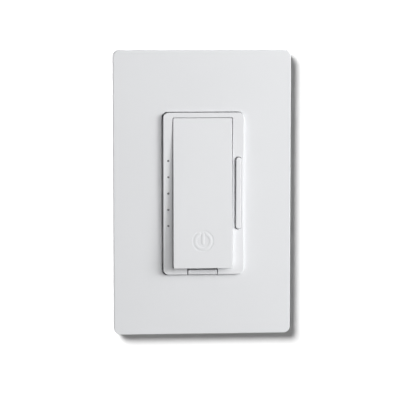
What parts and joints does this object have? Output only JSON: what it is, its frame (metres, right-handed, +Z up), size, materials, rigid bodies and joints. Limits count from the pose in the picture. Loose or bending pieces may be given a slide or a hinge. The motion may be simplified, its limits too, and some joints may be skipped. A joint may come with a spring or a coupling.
{
  "type": "wall dimmer switch",
  "caption": "Wall dimmer with a tilting paddle, a slim dimming rocker, a column of small lights and an air-gap tab, in a screwless rounded wall plate",
  "frame": {"origin": "midway between the two box screws, on the wall plane that the yoke's ears and the wall plate's rear rim rest on", "axes": "+Z up along the wall, +Y into the wall, +X to the right seen from the room"},
  "size_m": [0.0728, 0.0442, 0.117],
  "materials": {
    "plate_plastic": "smooth satin white moulding",
    "bezel_plastic": "smooth satin white moulding",
    "paddle_plastic": "smooth satin white moulding",
    "rocker_plastic": "smooth satin white moulding",
    "tab_plastic": "smooth satin white moulding",
    "frame_plastic": "matt white moulding",
    "housing_plastic": "matt near-black moulding",
    "yoke_metal": "brushed sheet",
    "zinc_steel": "bright zinc plating",
    "spring_steel": "rolled strip",
    "tin_steel": "tinned",
    "green_steel": "green dyed plating",
    "fibre": "red-brown vulcanised fibre",
    "light_pipe_plastic": "smoked clear moulding",
    "button_plastic": "matt black moulding",
    "brass": "plain rolled strip",
    "copper": "enamelled wire",
    "board": "green solder mask",
    "black_epoxy": "moulded epoxy",
    "led_resin": "cast resin",
    "grey_pad": "silicone sheet",
    "ferrite": "sintered, dark grey",
    "film_case": "yellow moulded case",
    "can_sleeve": "dark sleeve on a can",
    "disc_coat": "blue epoxy coat",
    "glass": "clear tube"
  },
  "bodies": {
    "chassis": {"plate_frame": "frame_plastic", "plate_screws": "zinc_steel", "yoke": "yoke_metal", "mounting_screws": "zinc_steel", "screw_keepers": "fibre", "bezel": "bezel_plastic", "paddle_spring": "spring_steel", "rocker_axle": "spring_steel", "light_pipe": "light_pipe_plastic", "airgap_contacts": "brass", "control_board": "board", "board_screws": "zinc_steel", "bezel_screws": "zinc_steel", "led_chips": "led_resin", "button_bases": "tin_steel", "controller_chip": "black_epoxy", "header_block": "black_epoxy", "header_pins": "brass", "power_board": "board", "rear_housing": "housing_plastic", "housing_screws": "zinc_steel", "triac_pad": "grey_pad", "triac_leadframe": "tin_steel", "triac_case": "black_epoxy", "triac_legs": "tin_steel", "triac_rivet": "tin_steel", "choke_core": "ferrite", "choke_winding": "copper", "film_capacitor": "film_case", "electrolytic_capacitor": "can_sleeve", "surge_disc": "disc_coat", "fuse_tube": "glass", "fuse_caps": "tin_steel", "transformer_core": "ferrite", "transformer_coil": "copper", "terminal_lugs": "brass", "clamp_plates": "brass", "terminal_screws": "brass", "ground_screw": "green_steel"},
    "cover": {"wall_plate": "plate_plastic"},
    "paddle": {"paddle": "paddle_plastic"},
    "rocker": {"dim_rocker": "rocker_plastic"},
    "paddle_button": {"paddle_button": "button_plastic"},
    "dim_up_button": {"dim_up_button": "button_plastic"},
    "dim_down_button": {"dim_down_button": "button_plastic"},
    "airgap": {"airgap_tab": "tab_plastic", "airgap_blade": "brass"}
  },
  "joints": [
    {"name": "cover_pull", "type": "slide", "parent": "chassis", "child": "cover", "axis": [0, -1, 0], "range_m": [0, 0.015]},
    {"name": "paddle_press", "type": "hinge", "parent": "chassis", "child": "paddle", "pos_m": [0, -0.005, 0.0293], "axis": [1, 0, 0], "range_deg": [0, 1.2], "stiffness_Nm_per_rad": 1.5, "springref_deg": -1.72, "deforming": ["paddle_spring"]},
    {"name": "paddle_button_slide", "type": "slide", "parent": "chassis", "child": "paddle_button", "axis": [0, 1, 0], "range_m": [0, 0.0005]},
    {"name": "dim_rock", "type": "hinge", "parent": "chassis", "child": "rocker", "pos_m": [0.0146, -0.0053, 0], "axis": [1, 0, 0], "range_deg": [-2, 2], "stiffness_Nm_per_rad": 0.4},
    {"name": "dim_up_slide", "type": "slide", "parent": "chassis", "child": "dim_up_button", "axis": [0, 1, 0], "range_m": [-0.0004, 0.0004]},
    {"name": "dim_down_slide", "type": "slide", "parent": "chassis", "child": "dim_down_button", "axis": [0, 1, 0], "range_m": [-0.0004, 0.0004]},
    {"name": "airgap_pull", "type": "slide", "parent": "chassis", "child": "airgap", "axis": [0, -1, 0], "range_m": [0, 0.003]}
  ],
  "couplings": [
    {"joint": "paddle_button_slide", "follows": "paddle_press", "m_per_rad": 0.022},
    {"joint": "dim_up_slide", "follows": "dim_rock", "m_per_rad": -0.011},
    {"joint": "dim_down_slide", "follows": "dim_rock", "m_per_rad": 0.011}
  ]
}
